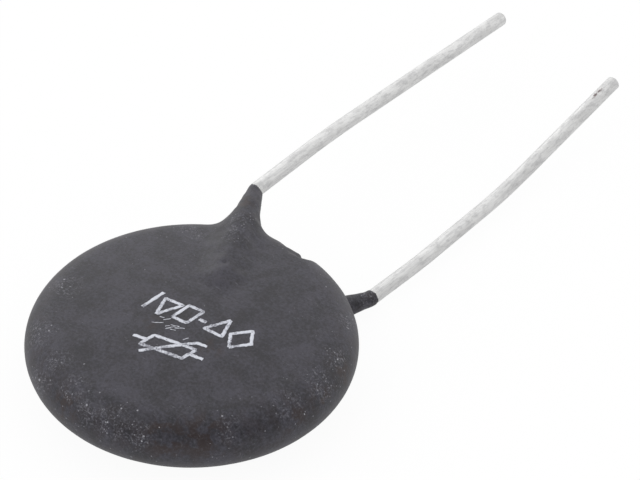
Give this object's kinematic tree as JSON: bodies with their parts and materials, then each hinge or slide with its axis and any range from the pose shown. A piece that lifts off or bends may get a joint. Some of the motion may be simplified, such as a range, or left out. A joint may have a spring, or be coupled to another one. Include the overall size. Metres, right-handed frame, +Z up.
{
  "type": "disc thermistor",
  "caption": "Dip-coated disc thermistor that limits inrush current: flat lens-shaped body with stiff round wire leads rising from resin horns, ready for through-hole soldering.",
  "frame": {"origin": "centre of the bounding box's base, where the part lies on its rear face", "axes": "+Y along the leads from the disc to their cut ends, +Z up through the disc's thickness towards the front face, +X to the right seen from the front face with the leads pointing up"},
  "size_m": [0.0215, 0.052, 0.0064],
  "materials": {
    "coating": "matte resin with fine mottling and dust specks",
    "marking_ink": "thin white pad print, worn",
    "ceramic": "sintered, dull",
    "electrode": "fired silver, satin",
    "solder": "satin solder",
    "tinned_wire": "satin tinned wire"
  },
  "bodies": {
    "root": {"resin_coating": "coating", "ceramic_disc": "ceramic", "front_electrode": "electrode", "rear_electrode": "electrode", "front_solder": "solder", "rear_solder": "solder", "front_lead": "tinned_wire", "rear_lead": "tinned_wire"}
  },
  "joints": []
}
